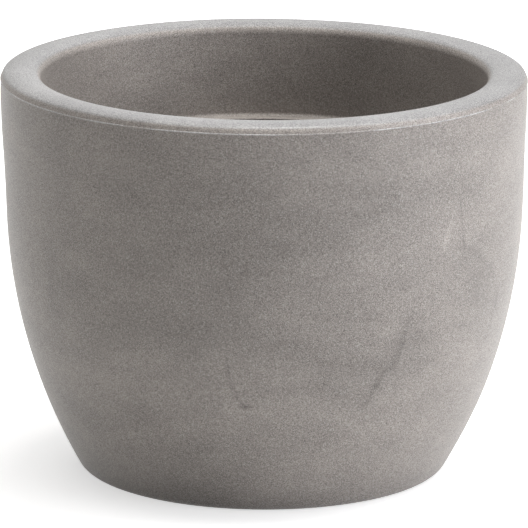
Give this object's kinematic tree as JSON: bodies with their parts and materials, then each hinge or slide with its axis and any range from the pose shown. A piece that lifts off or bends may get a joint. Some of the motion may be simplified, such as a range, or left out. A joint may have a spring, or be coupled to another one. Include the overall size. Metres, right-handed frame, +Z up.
{
  "type": "bowl planter",
  "caption": "Round bowl-shaped floor planter with a hollow folded rim, an inner ledge round its opening and a drain hole closed by a rubber bung.",
  "frame": {"origin": "on the floor, in the middle of the foot ring, on the pot's axis", "axes": "+Z up along the pot's axis. The pot is round, so +X and +Y are free: in the picture +Y points away from the camera and +X to the right"},
  "size_m": [0.39, 0.39, 0.301],
  "materials": {
    "pot": "matt, speckled concrete look",
    "bung": "matt"
  },
  "bodies": {
    "pot": {"pot_shell": "pot"},
    "bung": {"drain_plug": "bung"}
  },
  "joints": [
    {"name": "bung_lift", "type": "slide", "parent": "pot", "child": "bung", "axis": [0, 0, 1], "range_m": [0, 0.33]}
  ]
}
